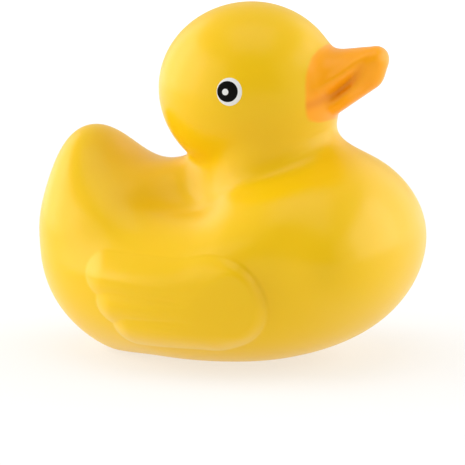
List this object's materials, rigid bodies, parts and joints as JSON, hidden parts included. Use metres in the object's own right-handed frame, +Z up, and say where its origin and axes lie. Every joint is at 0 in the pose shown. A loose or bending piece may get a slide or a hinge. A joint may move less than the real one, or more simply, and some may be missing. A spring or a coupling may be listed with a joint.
{
  "type": "rubber duck",
  "caption": "Hollow one-piece vinyl bath duck with an upturned tail, relief wings, a round head and a short bill, standing on a flat base.",
  "frame": {"origin": "middle of the flat base, in the plane it stands on", "axes": "+X towards the bill, +Y towards the duck's left wing, +Z up"},
  "size_m": [0.0983, 0.0798, 0.0887],
  "materials": {
    "yellow_vinyl": "soft satin moulded vinyl",
    "orange_paint": "satin sprayed paint with a soft edge",
    "white_paint": "satin printed paint",
    "black_paint": "gloss printed paint"
  },
  "bodies": {
    "root": {"duck": "yellow_vinyl"}
  },
  "joints": []
}
